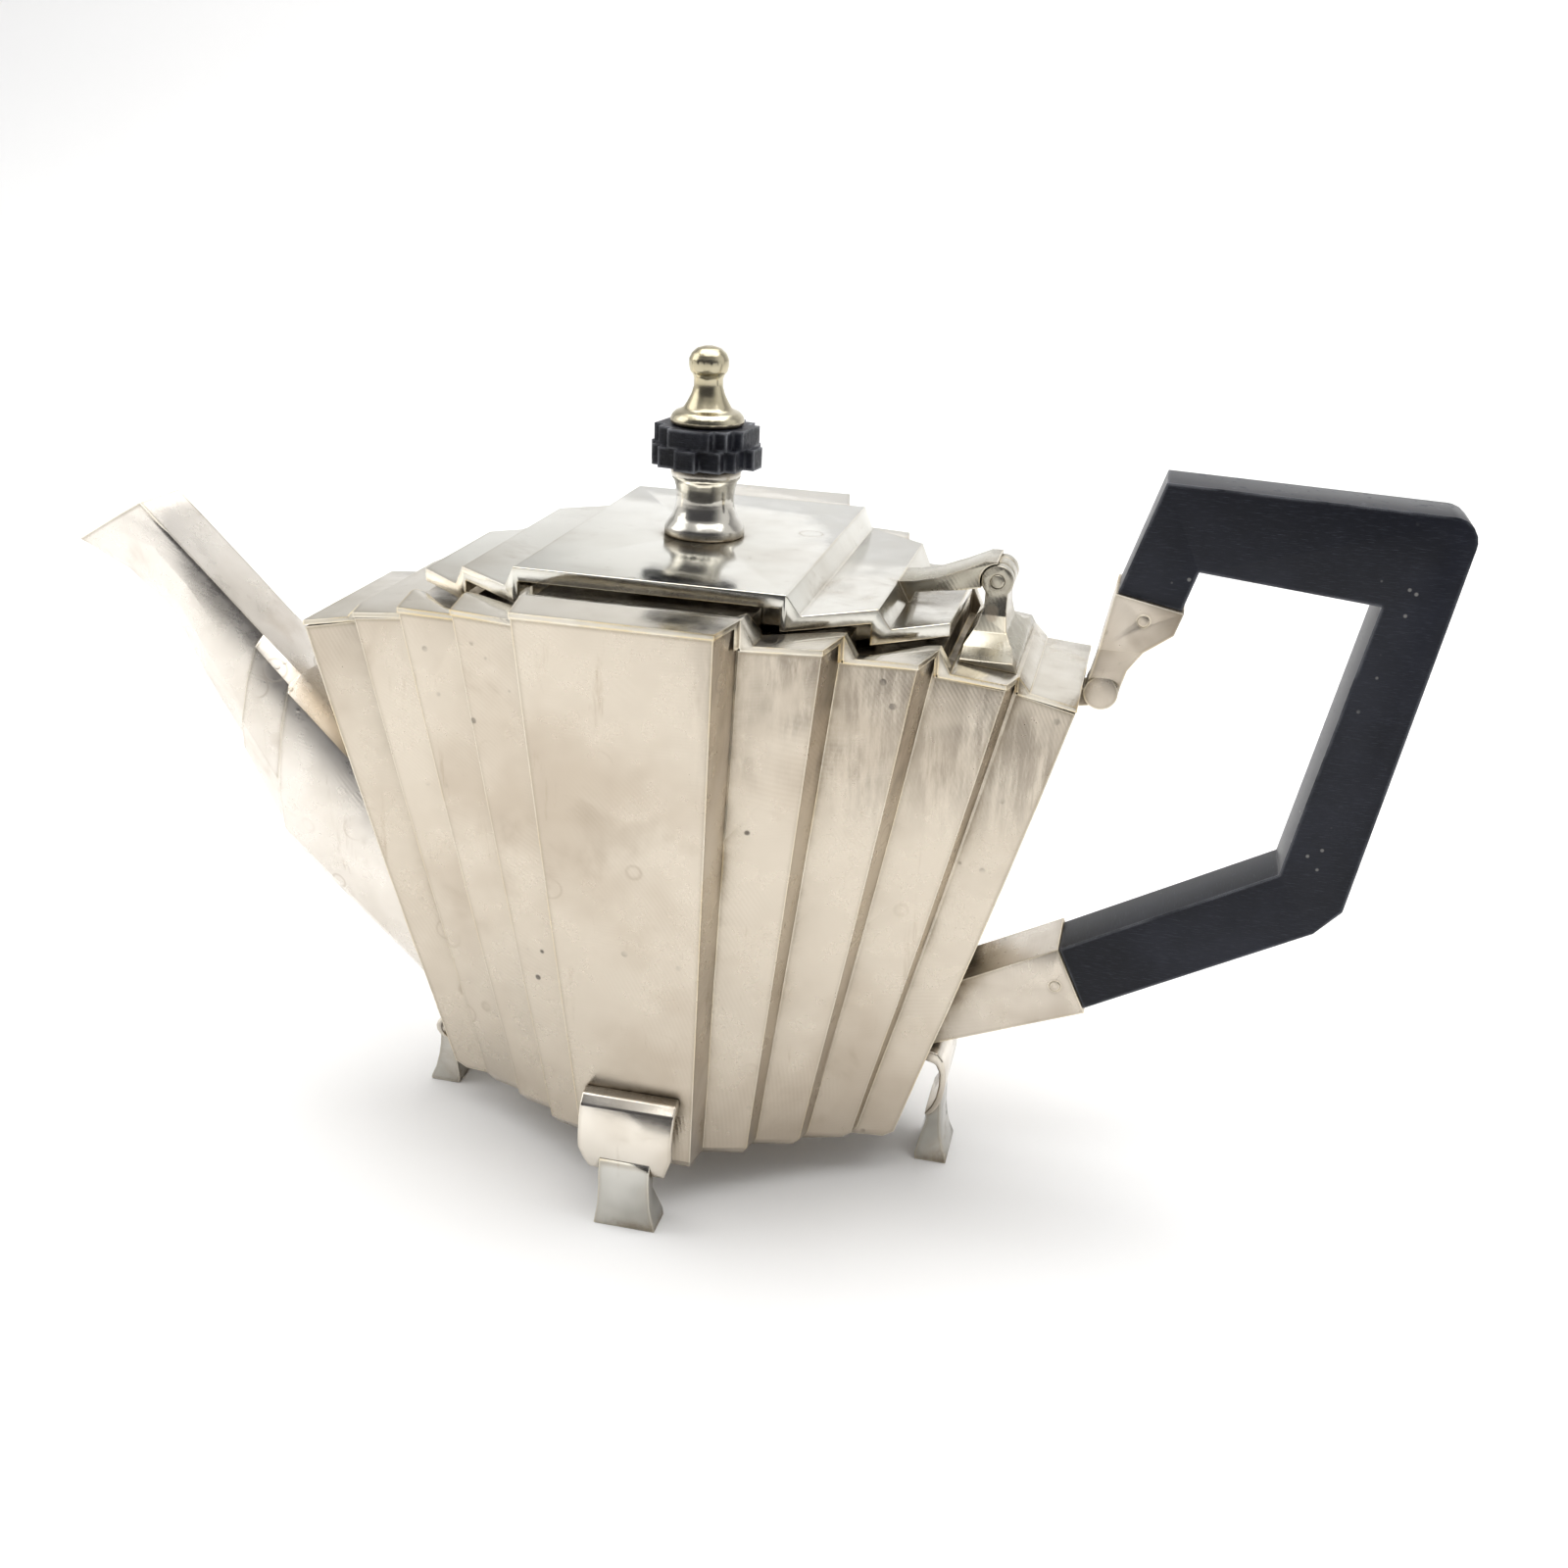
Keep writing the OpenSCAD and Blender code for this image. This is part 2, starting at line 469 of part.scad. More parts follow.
// Pocket in a socket for one of the grip's tenons
module pocket(a, b, edge, out) across(1.3 * grip_half + 2 * tenon_gap) polygon(
    let (p = tongue(a, b, edge, out), d = unit(b - a) * tenon_gap, n = outward(a, b))
        [p[0] - d, p[1] - d + n * tenon_gap, p[2] + d + n * tenon_gap, p[3] + d]);
lug_r = 3.2;
lug = [hl + lug_r + 0.485, bz + 0.830 * body_height];
module handle_ferrule() color(silver) {
    wide = socket_half;
    low_z = lug[1];
    difference() {
        union() {
            intersection() {
                across(2 * wide) polygon([past(leg_a, leg_b, -0.5), past(leg_a, leg_b, 0.5),
                    hp([0.238, 0.945]), hp([0.160, 0.912]), hp([0.122, 0.875]), lug + [lug_r, 0], lug + [-lug_r, 0],
                    hp([0.026, 0.872])]);
                translate([hl - 10, 0, 0]) rotate([90, 0, 90]) linear_extrude(reach) polygon([for (p = [
                    [-3.6, 0], [-3.6, 4], [-wide, 12.5], [-wide, 30], [wide, 30], [wide, 12.5], [3.6, 4], [3.6, 0]])
                    [p[0], low_z - 3 + p[1]]]);
            }
            translate([lug[0], 4.6, lug[1]]) rotate([90, 0, 0]) cylinder(r = lug_r, h = 9.2, $fn = 48);
            across(7) polygon([[end_x(0.80 * body_height) + 0.02, bz + 0.80 * body_height],
                [end_x(0.832 * body_height) + 0.02, bz + 0.832 * body_height], lug + [0, 1], lug + [0, -2.5]]);
        }
        pocket(leg_a, leg_b, 2, tenon);
        rivet_hole(ferrule_rivet);
    }
}
socket_low = 0.158 * body_height;
module handle_socket() color(silver) difference() {
    across(2 * socket_half) polygon([[end_x(socket_low) + 0.02, bz + socket_low],
        [end_x(0.29 * body_height) + 0.02, bz + 0.29 * body_height],
        past(arm_a, arm_b, -0.5), past(arm_a, arm_b, 0.5)]);
    pocket(arm_a, arm_b, 2, tenon);
    rivet_hole(socket_rivet);
}
module rivet(p) translate([p[0], socket_half + 0.15, p[1]]) rotate([90, 0, 0])
    cylinder(r = rivet_r, h = 2 * socket_half + 0.3, $fn = 40);
module ferrule_pin() color(silver) rivet(ferrule_rivet);
module socket_pin() color(silver) rivet(socket_rivet);

// Feet: a bulged strap fixed to the wall, and a hollow-backed shoe that hangs from it.
// Drawn with the wall towards +X; d is the wall's distance at the strap's top, drop its lean.
strap_out = [[0, 18], [2.4, 17.4], [4.2, 15.8], [5.6, 13], [6.6, 10], [7.1, 7], [7, 4], [6.5, 1.5]];
strap_in = [[5.2, 1.5], [5.7, 4], [5.8, 7], [5.3, 10], [4.3, 13], [2.8, 14.9], [0, 15.6]];
function wall_at(front, z) = front ? panel_y(z) : end_x(z);
// A strap's point at height z and distance d from the wall, for a strap that is top high
function strap_at(front, top, z, d) = let (h = 1.5 + (z - 1.5) * (top - 1.5) / 16.5)
    [wall_at(front, h) + seam + d * strap_sheet / 1.3, bz + h];
module strap(front, top = 18) color(silver) intersection() {
    across(strap_width) polygon([for (p = concat(strap_out, strap_in)) strap_at(front, top, p[1], p[0])]);
    rotate([90, 0, 90]) linear_extrude(body_length) polygon([for (s = [-1, 1])
        for (p = s < 0 ? [[0.5, 19], [0.5, 7], [0.38, 0]] : [[0.38, 0], [0.5, 7], [0.5, 19]])
        [s * p[0] * strap_width, bz + p[1]]]);
}
module shoe(front, top = 18) color(silver) {
    w2 = wall_at(front, 2);
    toe = wall_at(front, 0) + (front ? 9 : 12.6);
    heel = toe - 6.6;
    drop = foot_height;
    intersection() {
        across(2 * shoe_width) polygon([strap_at(front, top, 5, 7.033) + [seam, 0], [w2 + 8.1, bz + 2],
            [mix(w2 + 8.1, toe, 0.08), bz - 0.16 * drop], [mix(w2 + 8.1, toe, 0.25), bz - 0.42 * drop],
            [mix(w2 + 8.1, toe, 0.55), bz - 0.70 * drop], [mix(w2 + 8.1, toe, 0.95), bz - 0.90 * drop],
            [toe, bz - 0.94 * drop], [toe, 0], [heel, 0], [heel - 0.2, bz - 0.86 * drop],
            [mix(w2 + 5.2, heel, 0.6), bz - 0.5 * drop], [w2 + 5.2, bz - 0.12 * drop],
            strap_at(front, top, 1.5, 5.2) + [0, -2 * seam],
            strap_at(front, top, 1.5, 6.5) + [seam, -2 * seam], strap_at(front, top, 4, 7) + [seam, 0]]);
        rotate([90, 0, 90]) linear_extrude(body_length) polygon([for (s = [-1, 1])
            for (p = s < 0 ? [[0.41, drop + 6], [0.41, drop - 1], [0.43, 0.5 * drop], [0.5, 0]] :
                [[0.5, 0], [0.43, 0.5 * drop], [0.41, drop - 1], [0.41, drop + 6]])
            [s * p[0] * shoe_width, p[1]]]);
    }
}
// Tops of the straps below the spout's root and below the handle's socket
low_top = 0.07363 * body_height;
high_top = socket_low - 0.454;
module foot_strap_front() rotate(-90) strap(true);
module foot_strap_back() rotate(90) strap(true);
module foot_strap_spout() rotate(180) strap(false, low_top);
module foot_strap_handle() strap(false, high_top);
module foot_shoe_front() rotate(-90) shoe(true);
module foot_shoe_back() rotate(90) shoe(true);
module foot_shoe_spout() rotate(180) shoe(false, low_top);
module foot_shoe_handle() shoe(false, high_top);

wall_front();
wall_back();
bottom_plate();
shoulder_plate();
spout_shell();
lid_plate();
lid_bezel();
hinge_leaf();
hinge_bracket();
hinge_pin();
finial_foot();
finial_block();
finial_top();
finial_stud();
finial_nut();
handle_grip();
handle_ferrule();
handle_socket();
ferrule_pin();
socket_pin();
foot_strap_front();
foot_strap_back();
foot_strap_spout();
foot_strap_handle();
foot_shoe_front();
foot_shoe_back();
foot_shoe_spout();
foot_shoe_handle();
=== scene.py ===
"""Looks of a ribbed silver-plated teapot with a hinged lid and a black loop handle."""
import math

import bpy
from mathutils import Matrix, Vector

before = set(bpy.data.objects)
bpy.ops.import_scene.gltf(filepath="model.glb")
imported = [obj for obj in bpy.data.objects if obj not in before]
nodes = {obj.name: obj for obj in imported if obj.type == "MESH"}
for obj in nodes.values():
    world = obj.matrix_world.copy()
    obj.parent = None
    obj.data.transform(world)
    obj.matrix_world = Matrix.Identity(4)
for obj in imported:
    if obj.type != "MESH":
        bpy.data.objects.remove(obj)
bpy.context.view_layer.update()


# Rays per point of the corner and edge masks
MASK_SAMPLES = 6


# ---------------------------------------------------------------- node helpers
class Mat:
    """A material whose node tree is built by short calls; every call returns an output socket."""

    def __init__(self, name):
        self.m = bpy.data.materials.new(name)
        self.m.use_nodes = True
        self.t = self.m.node_tree
        self.b = self.t.nodes["Principled BSDF"]
        self.obj = self.node("ShaderNodeTexCoord").outputs["Object"]

    def node(self, kind, **props):
        n = self.t.nodes.new(kind)
        for k, v in props.items():
            setattr(n, k, v)
        return n

    def put(self, socket, value):
        if isinstance(value, bpy.types.NodeSocket):
            self.t.links.new(value, socket)
        else:
            socket.default_value = value

    def noise(self, scale, detail=3.0, rough=0.55, vec=None, distort=0.0):
        n = self.node("ShaderNodeTexNoise")
        self.put(n.inputs["Vector"], vec or self.obj)
        n.inputs["Scale"].default_value = scale
        n.inputs["Detail"].default_value = detail
        n.inputs["Roughness"].default_value = rough
        n.inputs["Distortion"].default_value = distort
        return n.outputs["Fac"]

    def cells(self, scale, vec=None):
        """Distance to the nearest of a field of scattered points."""
        n = self.node("ShaderNodeTexVoronoi")
        self.put(n.inputs["Vector"], vec or self.obj)
        n.inputs["Scale"].default_value = scale
        return n.outputs["Distance"]

    def rings(self, scale, vec, distort):
        """Slightly wavy rings round the mapped origin."""
        n = self.node("ShaderNodeTexWave", wave_type="RINGS", rings_direction="SPHERICAL")
        self.put(n.inputs["Vector"], vec)
        n.inputs["Scale"].default_value = scale
        n.inputs["Distortion"].default_value = distort
        n.inputs["Detail"].default_value = 1.0
        n.inputs["Detail Scale"].default_value = 0.05
        return n.outputs["Fac"]

    def place(self, loc=(0, 0, 0), rot=(0, 0, 0), scale=(1, 1, 1)):
        n = self.node("ShaderNodeMapping")
        self.put(n.inputs["Vector"], self.obj)
        n.inputs["Location"].default_value = loc
        n.inputs["Rotation"].default_value = rot
        n.inputs["Scale"].default_value = scale
        return n.outputs["Vector"]

    def step(self, x, lo, hi, a=0.0, b=1.0):
        """Maps lo..hi to a..b smoothly, held outside."""
        n = self.node("ShaderNodeMapRange", interpolation_type="SMOOTHSTEP")
        self.put(n.inputs["Value"], x)
        for k, v in (("From Min", lo), ("From Max", hi), ("To Min", a), ("To Max", b)):
            n.inputs[k].default_value = v
        return n.outputs["Result"]

    def band(self, x, mid, half):
        """1 where x is at mid, 0 further than half away."""
        return self.step(self.calc("ABSOLUTE", self.calc("SUBTRACT", x, mid)), 0.0, half, 1.0, 0.0)

    def calc(self, op, a, b=None):
        n = self.node("ShaderNodeMath", operation=op)
        self.put(n.inputs[0], a)
        if b is not None:
            self.put(n.inputs[1], b)
        return n.outputs[0]

    def times(self, *xs):
        out = xs[0]
        for x in xs[1:]:
            out = self.calc("MULTIPLY", out, x)
        return out

    def most(self, *xs):
        out = xs[0]
        for x in xs[1:]:
            out = self.calc("MAXIMUM", out, x)
        return out

    def mix(self, a, b, f):
        n = self.node("ShaderNodeMix", data_type="RGBA")
        self.put(n.inputs[0], f)
        self.put(n.inputs[6], a)
        self.put(n.inputs[7], b)
        return n.outputs[2]

    def xyz(self):
        n = self.node("ShaderNodeSeparateXYZ")
        self.put(n.inputs[0], self.obj)
        return n.outputs

    def corner(self, reach):
        """1 deep in a concave corner, 0 in the open."""
        n = self.node("ShaderNodeAmbientOcclusion", samples=MASK_SAMPLES, only_local=False)
        n.inputs["Distance"].default_value = reach
        return self.step(n.outputs["AO"], 0.35, 0.95, 1.0, 0.0)

    def edge(self, radius):
        """1 on an edge, 0 on the flat."""
        n = self.node("ShaderNodeBevel", samples=MASK_SAMPLES)
        n.inputs["Radius"].default_value = radius
        g = self.node("ShaderNodeNewGeometry")
        d = self.node("ShaderNodeVectorMath", operation="DOT_PRODUCT")
        self.put(d.inputs[0], n.outputs[0])
        self.put(d.inputs[1], g.outputs["Normal"])
        return self.step(d.outputs["Value"], 0.90, 0.995, 1.0, 0.0)

    def bump(self, height, strength, distance, under=None):
        n = self.node("ShaderNodeBump")
        n.inputs["Strength"].default_value = strength
        n.inputs["Distance"].default_value = distance
        self.put(n.inputs["Height"], height)
        if under is not None:
            self.put(n.inputs["Normal"], under)
        return n.outputs[0]

    def finish(self, color, rough, normal=None, metallic=1.0, **extra):
        self.put(self.b.inputs["Base Color"], color)
        self.put(self.b.inputs["Roughness"], rough)
        self.put(self.b.inputs["Metallic"], metallic)
        if normal is not None:
            self.put(self.b.inputs["Normal"], normal)
        for k, v in extra.items():
            self.put(self.b.inputs[k.replace("_", " ")], v)
        return self.m


def rgb(r, g, b):
    return (r, g, b, 1.0)


GOLD = rgb(0.72, 0.55, 0.26)
SOOT = rgb(0.035, 0.030, 0.028)
UMBER = rgb(0.30, 0.22, 0.14)
STAIN = rgb(0.42, 0.35, 0.27)
SMUDGE = rgb(0.16, 0.13, 0.10)
# painted shade for the concave folds
FOLD_SHADE = rgb(0.23, 0.19, 0.13)
# painted shade beside each edge
EDGE_SHADE = rgb(0.30, 0.25, 0.18)
# painted highlight on each edge
EDGE_HIGHLIGHT = rgb(0.93, 0.88, 0.76)
# painted glint on the polishing scratches
POLISH_GLINT = rgb(0.98, 0.93, 0.85)
# Reach of the painted shade in the folds and of the two edge masks, and heights of the bumps, in metres
FOLD_SHADE_REACH = 0.009
EDGE_NEAR = 0.0006
EDGE_WIDE = 0.0017
DENT_HEIGHT = 0.0022
ARC_HEIGHT = 0.00003
PIT_HEIGHT = 0.00012


def add_stains(s, color, cloud, stain):
    """Dull blotches and the rings that drops of water leave. Returns the colour and the mask."""
    blot = s.times(s.step(s.noise(48, 5, 0.6, distort=0.6), 0.56, 0.70), s.step(cloud, 0.35, 0.6))
    ring = s.times(s.band(s.cells(95, vec=s.place(loc=(0.3, 0.1, 0.7))), 0.23, 0.035),
                   s.step(s.noise(30, 2, vec=s.place(loc=(3, 1, 2))), 0.56, 0.64))
    stains = s.times(s.most(blot, ring), stain)
    return s.mix(color, STAIN, s.times(stains, 0.75)), stains


def add_streaks(s, color, streak):
    """Streaks that run down the ribs."""
    run = s.noise(26, 5, 0.7, vec=s.place(scale=(9, 9, 0.9)))
    return s.mix(color, UMBER, s.times(s.step(run, 0.60, 0.78), streak))


def add_smudges(s, color, smudge):
    """Dark brushed smudges that hang from the rim on the handle's side."""
    axis = s.xyz()
    rise = s.calc("ADD", axis["Z"], s.times(axis["X"], 0.22))
    tops = s.times(s.step(rise, 0.088, 0.114), s.step(axis["X"], 0.010, 0.026))
    brush = s.noise(60, 5, 0.75, vec=s.place(rot=(0, 0.12, 0), scale=(6, 6, 0.7)))
    lump = s.noise(40, 3, vec=s.place(loc=(6, 6, 3)))
    mask = s.times(tops, s.step(brush, 0.34, 0.60), s.step(lump, 0.36, 0.56), smudge)
    return s.mix(color, SMUDGE, mask)


def add_specks(s, color, pits):
    """Black specks in patches. Returns the colour and the mask."""
    speck = s.times(s.step(s.cells(210, vec=s.place(loc=(1, 5, 2))), 0.10, 0.17, 1.0, 0.0),
                    s.step(s.noise(36, 3, vec=s.place(loc=(7, 2, 5))), 0.58, 0.66))
    return s.mix(color, SOOT, s.times(speck, pits)), speck


def add_grime_and_fold_shade(s, color, dip, dirt, shade):
    """Broken-up dirt in the corners and painted shade in the folds. Returns colour and dirt."""
    patchy = s.step(s.noise(70, 5, 0.7, vec=s.place(loc=(2, 9, 4))), 0.36, 0.66)
    grime = s.times(s.corner(dip), s.calc("ADD", s.times(patchy, 0.75), 0.25), dirt)
    dark = s.mix(UMBER, SOOT, s.step(grime, 0.35, 0.8))
    color = s.mix(color, dark, s.step(grime, 0.08, 0.75))
    # painted shade: the folds found by occlusion are darkened towards the fold colour
    fold = s.times(s.corner(FOLD_SHADE_REACH), s.calc("ADD", s.times(patchy, 0.5), 0.5), shade)
    return s.mix(color, FOLD_SHADE, fold), grime


def add_edges(s, color, gold, rim):
    """A line of painted shade beside each edge, a painted highlight on each edge, and brass where the
    plate has worn through.
    """
    near, wide = s.edge(EDGE_NEAR), s.edge(EDGE_WIDE)
    # painted shade: a darker band just beside each edge, scaled by rim
    color = s.mix(color, EDGE_SHADE, s.times(wide, s.calc("SUBTRACT", 1.0, near), rim))
    # painted highlight along each edge
    color = s.mix(color, EDGE_HIGHLIGHT, s.times(near, 0.7))
    patchy = s.noise(55, 4, 0.6, vec=s.place(loc=(5, 5, 1)))
    return s.mix(color, GOLD, s.times(near, s.step(patchy, 0.42, 0.62), gold))


def polish_arcs(s):
    """Arcs of fine polishing scratches round three far centres, each in its own patches."""
    arcs_a = s.rings(430, s.place(loc=(0.09, 0.0, -0.02)), 2.2)
    arcs_b = s.rings(390, s.place(loc=(-0.03, 0.0, -0.16)), 2.6)
    arcs_c = s.rings(480, s.place(loc=(0.0, 0.1, -0.33)), 2.0)
    patch = s.noise(24, 2, 0.5, vec=s.place(loc=(4, 8, 6)))
    a = s.times(arcs_a, s.step(patch, 0.50, 0.60))
    b = s.times(arcs_b, s.step(patch, 0.36, 0.44, 1.0, 0.0))
    c = s.times(arcs_c, s.band(patch, 0.47, 0.03), 0.6)
    return s.calc("ADD", a, s.calc("ADD", b, c))


def silver(name, tint, deep, rough=0.16, stain=0.5, dirt=0.8, gold=0.5, swirl=0.4, pits=0.3,
           wobble=0.25, streak=0.4, dip=0.0035, smudge=0.0, shade=0.6, rim=0.5):
    """Old silver plate: clouded tint, stains, streaks, specks, dirt in corners, painted shade in the
    folds, a painted highlight on each edge with painted shade beside it, brass on edges, polishing marks
    lightened as a painted glint, and the slow dents of thin hand-worked sheet."""
    s = Mat(name)
    cloud = s.noise(22, 4, 0.6)
    color = s.mix(tint, deep, s.step(cloud, 0.42, 0.68))
    color, stains = add_stains(s, color, cloud, stain)
    color = add_streaks(s, color, streak)
    if smudge:
        color = add_smudges(s, color, smudge)
    color, speck = add_specks(s, color, pits)
    color, grime = add_grime_and_fold_shade(s, color, dip, dirt, shade)
    color = add_edges(s, color, gold, rim)
    arcs = polish_arcs(s)
    # the scratches are real wear; their lightening is a painted glint
    color = s.mix(color, POLISH_GLINT, s.times(arcs, 0.10 * swirl))
    haze = s.step(s.noise(140, 4, 0.65), 0.35, 0.7)
    dull = s.calc("ADD", s.times(grime, 0.5), s.times(cloud, 0.12))
    dull = s.calc("ADD", s.times(stains, 0.25), dull)
    dull = s.calc("ADD", s.times(haze, 0.10), dull)
    n = s.bump(s.noise(34, 2, 0.4), wobble, DENT_HEIGHT)
    n = s.bump(arcs, swirl, ARC_HEIGHT, n)
    n = s.bump(s.most(s.times(speck, 0.8), s.times(s.noise(900, 3, 0.7), 0.25)), 0.35, PIT_HEIGHT, n)
    return s.finish(color, s.calc("ADD", dull, rough), n)


def black(name, base, rough, chips=0.0):
    """Stained black resin or wood: fine slanting scratches, specks of dust, paler worn edges."""
    s = Mat(name)
    cloud = s.noise(30, 4, 0.6)
    grain = s.noise(160, 3, 0.6, vec=s.place(rot=(0, 0.9, 0), scale=(1, 1, 14)))
    scratch = s.step(s.noise(420, 2, 0.5, vec=s.place(rot=(0, 0.7, 0), scale=(1, 1, 34))), 0.60, 0.72)
    scratch2 = s.step(s.noise(300, 2, 0.5, vec=s.place(rot=(0.3, -0.8, 0), scale=(1, 1, 40))), 0.66, 0.74)
    dust = s.times(s.step(s.cells(260), 0.05, 0.12, 1.0, 0.0), s.step(s.noise(45, 2), 0.52, 0.62))
    worn = s.times(s.edge(0.0011), s.step(s.noise(90, 4, 0.6), 0.30, 0.62))
    color = s.mix(base, rgb(0.016, 0.018, 0.028), s.step(cloud, 0.4, 0.7))
    scratches = s.times(s.most(scratch, s.times(scratch2, 0.7)), 0.30)
    color = s.mix(color, rgb(0.10, 0.11, 0.14), scratches)
    color = s.mix(color, rgb(0.30, 0.31, 0.34), s.times(worn, 0.45 + chips))
    color = s.mix(color, rgb(0.36, 0.35, 0.33), s.times(dust, 0.5))
    r = s.calc("ADD", s.times(cloud, 0.18), s.calc("ADD", s.times(scratch, 0.16), rough))
    n = s.bump(s.noise(38, 2, 0.4), 0.20, 0.0012)
    n = s.bump(s.calc("ADD", s.times(grain, 0.5), s.most(scratch, scratch2)), 0.18, 0.00010, n)
    if chips:
        n = s.bump(s.noise(520, 5, 0.75), chips, 0.0011, n)
    return s.finish(color, r, n, metallic=0.0, Specular_IOR_Level=0.22)


BODY = silver("silver_body", rgb(0.60, 0.535, 0.445), rgb(0.50, 0.43, 0.345), rough=0.20,
              dirt=1.0, gold=0.6, swirl=0.4, pits=0.8, smudge=0.6, shade=0.75, rim=0.8)
SHOULDER = silver("silver_shoulder", rgb(0.72, 0.68, 0.60), rgb(0.54, 0.49, 0.40), rough=0.10,
                  dirt=0.9, gold=1.0, swirl=0.2, stain=0.6, wobble=0.35)
LID = silver("silver_lid", rgb(0.78, 0.77, 0.71), rgb(0.64, 0.61, 0.54), rough=0.06, dirt=0.8,
             gold=0.9, swirl=0.1, stain=0.7, wobble=0.3)
SPOUT = silver("silver_spout", rgb(0.79, 0.745, 0.685), rgb(0.66, 0.61, 0.54), rough=0.18, dirt=0.5,
               gold=0.1, swirl=0.2, stain=0.5, streak=0.45, dip=0.002, shade=0.15, rim=0.9)
HINGE = silver("silver_hinge", rgb(0.58, 0.55, 0.47), rgb(0.38, 0.35, 0.28), rough=0.16, dirt=1.0,
               gold=0.8, swirl=0.2, stain=0.9, dip=0.002, shade=0.8)
SOCKET = silver("silver_socket", rgb(0.60, 0.54, 0.46), rgb(0.38, 0.32, 0.25), rough=0.20, dirt=1.0,
                gold=0.6, swirl=0.3, stain=1.0, pits=1.0, streak=0.7, shade=0.9)
FOOT = silver("silver_foot", rgb(0.78, 0.73, 0.65), rgb(0.50, 0.44, 0.36), rough=0.08, dirt=1.0,
              gold=0.3, swirl=0.15, stain=0.7, wobble=0.5, shade=0.35)
# a darker, more streaked copy of the foot silver: painted dark reflections on the shoes
SHOE_DARK_REFLECTION = silver("silver_shoe_dark_reflection", rgb(0.60, 0.59, 0.55), rgb(0.26, 0.25, 0.22), rough=0.04, dirt=1.0,
              gold=0.4, swirl=0.1, stain=0.9, streak=1.0, wobble=1.0, shade=0.7)
BASE = silver("silver_base", rgb(0.50, 0.46, 0.40), rgb(0.36, 0.32, 0.27), rough=0.30, dirt=0.9,
              gold=0.3, swirl=0.3, stain=0.9)
FINIAL = silver("silver_finial", rgb(0.60, 0.58, 0.53), rgb(0.46, 0.43, 0.37), rough=0.05, dirt=0.9,
                gold=0.5, swirl=0.1, stain=0.3, wobble=0.15)
GILT = silver("gilt_finial", rgb(0.56, 0.52, 0.40), rgb(0.46, 0.40, 0.26), rough=0.10, dirt=0.7,
              gold=0.9, swirl=0.1, stain=0.3, wobble=0.1)
BRASS = silver("dull_brass", rgb(0.60, 0.47, 0.26), rgb(0.42, 0.32, 0.18), rough=0.28, dirt=0.8,
               gold=0.2, swirl=0.2)
HANDLE = black("handle_black", rgb(0.006, 0.007, 0.012), 0.26)
CUBES = black("finial_cubes", rgb(0.004, 0.004, 0.006), 0.30, chips=0.5)

LOOK = {
    "wall_front": (BODY, 0.45), "wall_back": (BODY, 0.45), "bottom_plate": (BASE, 0.2),
    "shoulder_plate": (SHOULDER, 0.3), "spout_shell": (SPOUT, 0.6),
    "lid_plate": (LID, 0.45), "lid_bezel": (LID, 0.2),
    "hinge_leaf": (HINGE, 0.35), "hinge_bracket": (HINGE, 0.5), "hinge_pin": (HINGE, 0.2),
    "finial_foot": (FINIAL, 0.3), "finial_block": (CUBES, 0.25), "finial_top": (GILT, 0.2),
    "finial_stud": (BRASS, 0.2), "finial_nut": (BRASS, 0.3),
    "handle_grip": (HANDLE, 0.9), "handle_ferrule": (SOCKET, 0.5), "handle_socket": (SOCKET, 0.45),
    "ferrule_pin": (SOCKET, 0.2), "socket_pin": (SOCKET, 0.2),
}
for side in ("front", "back", "spout", "handle"):
    LOOK["foot_strap_" + side] = (FOOT, 0.4)
    LOOK["foot_shoe_" + side] = (SHOE_DARK_REFLECTION, 0.9)


def soften(o, width_mm):
    """Rounds a CAD node's sharp edges without changing its mesh."""
    w = o.modifiers.new("weld", "WELD")
    w.merge_threshold = 2e-6
    d = o.modifiers.new("flat", "DECIMATE")
    d.decimate_type = "DISSOLVE"
    d.angle_limit = math.radians(0.25)
    b = o.modifiers.new("edges", "BEVEL")
    b.width = width_mm / 1000
    b.segments = 3
    b.limit_method = "ANGLE"
    b.angle_limit = math.radians(24)
    b.miter_outer = "MITER_ARC"
    b.use_clamp_overlap = True
    b.harden_normals = True


for name, (mat, width) in LOOK.items():
    o = nodes[name]
    o.data.materials.clear()
    o.data.materials.append(mat)
    o.data.polygons.foreach_set("use_smooth", [True] * len(o.data.polygons))
    soften(o, width)

# ---------------------------------------------------------------- studio
stage_mesh = bpy.data.meshes.new("table")
TABLE_HALF, CURVE_START, CURVE_R, WALL_TOP, CURVE_STEPS = 3.0, 0.9, 0.7, 3.0, 10
rows = [(-TABLE_HALF, 0.0), (CURVE_START, 0.0)]
for i in range(1, CURVE_STEPS + 1):
    a = math.radians(90 * i / CURVE_STEPS)
    rows.append((CURVE_START + CURVE_R * math.sin(a), CURVE_R - CURVE_R * math.cos(a)))
rows.append((CURVE_START + CURVE_R, WALL_TOP))
verts = [(x, y, z) for y, z in rows for x in (-TABLE_HALF, TABLE_HALF)]
faces = [(2 * i, 2 * i + 1, 2 * i + 3, 2 * i + 2) for i in range(len(rows) - 1)]
stage_mesh.from_pydata(verts, [], faces)
stage_mesh.polygons.foreach_set("use_smooth", [True] * len(faces))
table = bpy.data.objects.new("table", stage_mesh)
bpy.context.scene.collection.objects.link(table)
paper = Mat("white_paper")
paper.finish(rgb(0.96, 0.957, 0.952), 0.8, metallic=0.0)
stage_mesh.materials.append(paper.m)


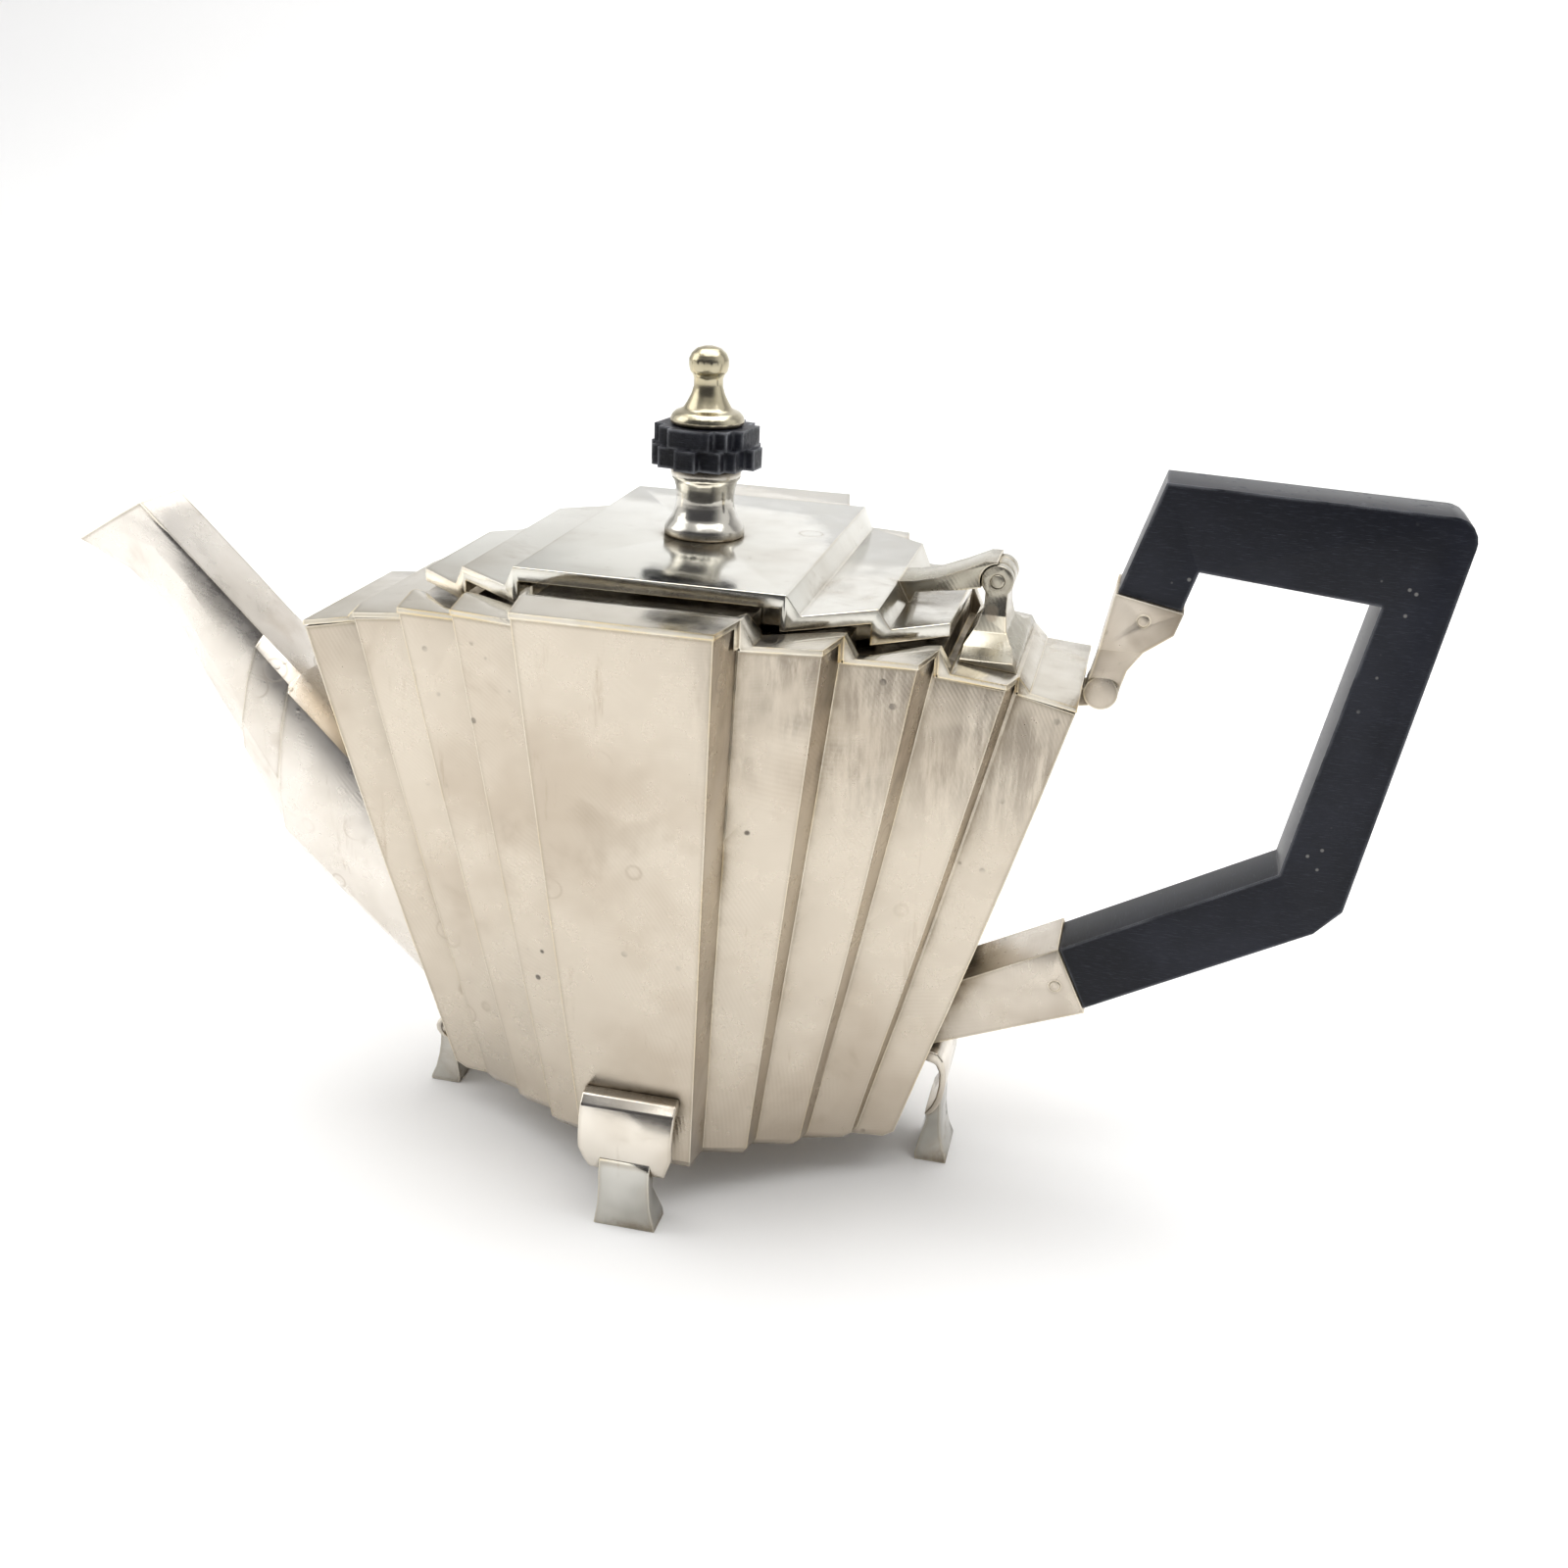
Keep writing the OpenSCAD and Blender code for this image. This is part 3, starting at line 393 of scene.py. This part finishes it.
def area(name, loc, target, size, power):
    light = bpy.data.lights.new(name, "AREA")
    light.shape = "RECTANGLE"
    light.size, light.size_y = size
    light.energy = power
    o = bpy.data.objects.new(name, light)
    bpy.context.scene.collection.objects.link(o)
    o.location = loc
    o.rotation_euler = (Vector(target) - Vector(loc)).to_track_quat("-Z", "Y").to_euler()


area("soft_top", (0.1, 0.15, 1.4), (0, 0.1, 0.05), (1.8, 1.6), 17)
area("backdrop", (0, 0.2, 1.6), (0, 1.6, 0.5), (2.4, 0.6), 7)
area("soft_left", (-1.3, -0.2, 0.9), (0, 0, 0.08), (1.0, 1.0), 5)

world = bpy.data.worlds.new("room")
world.use_nodes = True
bpy.context.scene.world = world
wt = world.node_tree
sky = wt.nodes["Background"]
sky.inputs["Strength"].default_value = 1.0


def world_node(kind, **props):
    n = wt.nodes.new(kind)
    for k, v in props.items():
        setattr(n, k, v)
    return n


def ramp_of(source, lo, hi, a, b):
    n = world_node("ShaderNodeMapRange", interpolation_type="SMOOTHSTEP")
    wt.links.new(source, n.inputs["Value"])
    for k, v in (("From Min", lo), ("From Max", hi), ("To Min", a), ("To Max", b)):
        n.inputs[k].default_value = v
    return n.outputs["Result"]


way = world_node("ShaderNodeTexCoord").outputs["Generated"]
axes = world_node("ShaderNodeSeparateXYZ")
wt.links.new(way, axes.inputs[0])
# a dim room behind the camera, a bright wall behind the object and a bright ceiling
front_side = ramp_of(axes.outputs["Y"], -0.75, 0.05, 1.0, 0.0)
low_side = ramp_of(axes.outputs["Z"], 0.55, 0.95, 1.0, 0.0)
dim = world_node("ShaderNodeMath", operation="MULTIPLY")
wt.links.new(front_side, dim.inputs[0])
wt.links.new(low_side, dim.inputs[1])
shade = world_node("ShaderNodeMix", data_type="RGBA")
wt.links.new(dim.outputs[0], shade.inputs[0])
shade.inputs[6].default_value = rgb(0.98, 0.98, 0.97)
shade.inputs[7].default_value = rgb(0.10, 0.10, 0.11)
wt.links.new(shade.outputs[2], sky.inputs["Color"])

# Camera: a little to the right of the flat panel and above the lid
CAMERA_AT = (0.0860, -0.3196, 0.20845)
AZIMUTH, ELEVATION, ROLL = math.radians(11.972), math.radians(21.567), math.radians(2.725)
cam_data = bpy.data.cameras.new("view")
cam_data.sensor_width = 36.0
cam_data.lens = 39.6
cam = bpy.data.objects.new("view", cam_data)
bpy.context.scene.collection.objects.link(cam)
flat = math.cos(ELEVATION)
back = Vector((math.sin(AZIMUTH) * flat, -math.cos(AZIMUTH) * flat, math.sin(ELEVATION)))
level = (-back).cross(Vector((0, 0, 1))).normalized()
upright = level.cross(-back)
right = math.cos(ROLL) * level + math.sin(ROLL) * upright
up = -math.sin(ROLL) * level + math.cos(ROLL) * upright
turn = Matrix((right, up, back)).transposed()
cam.matrix_world = Matrix.Translation(CAMERA_AT) @ turn.to_4x4()
bpy.context.scene.camera = cam
bpy.context.scene.view_settings.view_transform = "Standard"
